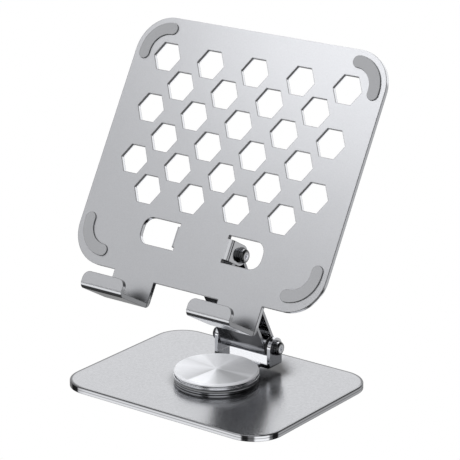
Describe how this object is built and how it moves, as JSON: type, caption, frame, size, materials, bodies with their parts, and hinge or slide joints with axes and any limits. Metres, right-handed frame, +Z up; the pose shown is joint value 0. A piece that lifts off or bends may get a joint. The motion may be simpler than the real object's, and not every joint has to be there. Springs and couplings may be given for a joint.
{
  "type": "tablet stand",
  "caption": "Folding desktop tablet stand: flat base, turntable with a yoke, double-hinged arm and a perforated tray with two front hooks.",
  "frame": {"origin": "on the resting plane, under the turntable axis, at the middle of the base plate", "axes": "+Z up along the turntable axis, +X to the right across the tray, the tray faces -Y"},
  "size_m": [0.19, 0.1261, 0.2201],
  "materials": {
    "base_metal": "bead-blasted satin top, polished edge and sides",
    "mat_rubber": "matte, finely textured",
    "ring_metal": "turned satin",
    "black_nylon": "matte black",
    "plain_steel": "turned, lightly oiled",
    "spring_steel": "dark spring temper",
    "yoke_metal": "bead-blasted satin",
    "spun_metal": "face turned with fine circular lines, chamfered rim",
    "bright_chrome": "polished chrome",
    "arm_metal": "satin, lengthwise grain",
    "bronze": "oiled sintered bronze",
    "tray_metal": "bead-blasted satin, bright cut edges",
    "pad_silicone": "matte grey silicone"
  },
  "bodies": {
    "base": {"base_plate": "base_metal", "base_mat": "mat_rubber", "lower_ring": "ring_metal", "slip_washer": "black_nylon", "pivot_post": "plain_steel", "pivot_spring": "spring_steel", "pivot_bolt": "plain_steel", "pivot_washer": "spring_steel"},
    "turntable": {"yoke_bracket": "yoke_metal", "disc_cap": "spun_metal", "lower_pin": "plain_steel", "lower_screws": "bright_chrome", "lower_screw_washers": "bright_chrome", "lower_friction_washers": "black_nylon", "lower_disc_springs": "spring_steel"},
    "arm": {"arm_link": "arm_metal", "lower_bush": "bronze", "upper_bush": "bronze"},
    "tray": {"tray_panel": "tray_metal", "pad_top_left": "pad_silicone", "pad_top_right": "pad_silicone", "pad_bottom_left": "pad_silicone", "pad_bottom_right": "pad_silicone", "upper_pin": "plain_steel", "upper_screws": "bright_chrome", "upper_screw_washers": "bright_chrome", "upper_friction_washers": "black_nylon", "upper_disc_springs": "spring_steel"}
  },
  "joints": [
    {"name": "turntable_swivel", "type": "hinge", "parent": "base", "child": "turntable", "pos_m": [0, 0, 0.0101], "axis": [0, 0, 1], "continuous": true},
    {"name": "arm_tilt", "type": "hinge", "parent": "turntable", "child": "arm", "pos_m": [0, 0.03405, 0.02125], "axis": [1, 0, 0], "range_deg": [-45, 25]},
    {"name": "tray_tilt", "type": "hinge", "parent": "arm", "child": "tray", "pos_m": [0, -0.00424, 0.09387], "axis": [1, 0, 0], "range_deg": [-60, 60]}
  ]
}
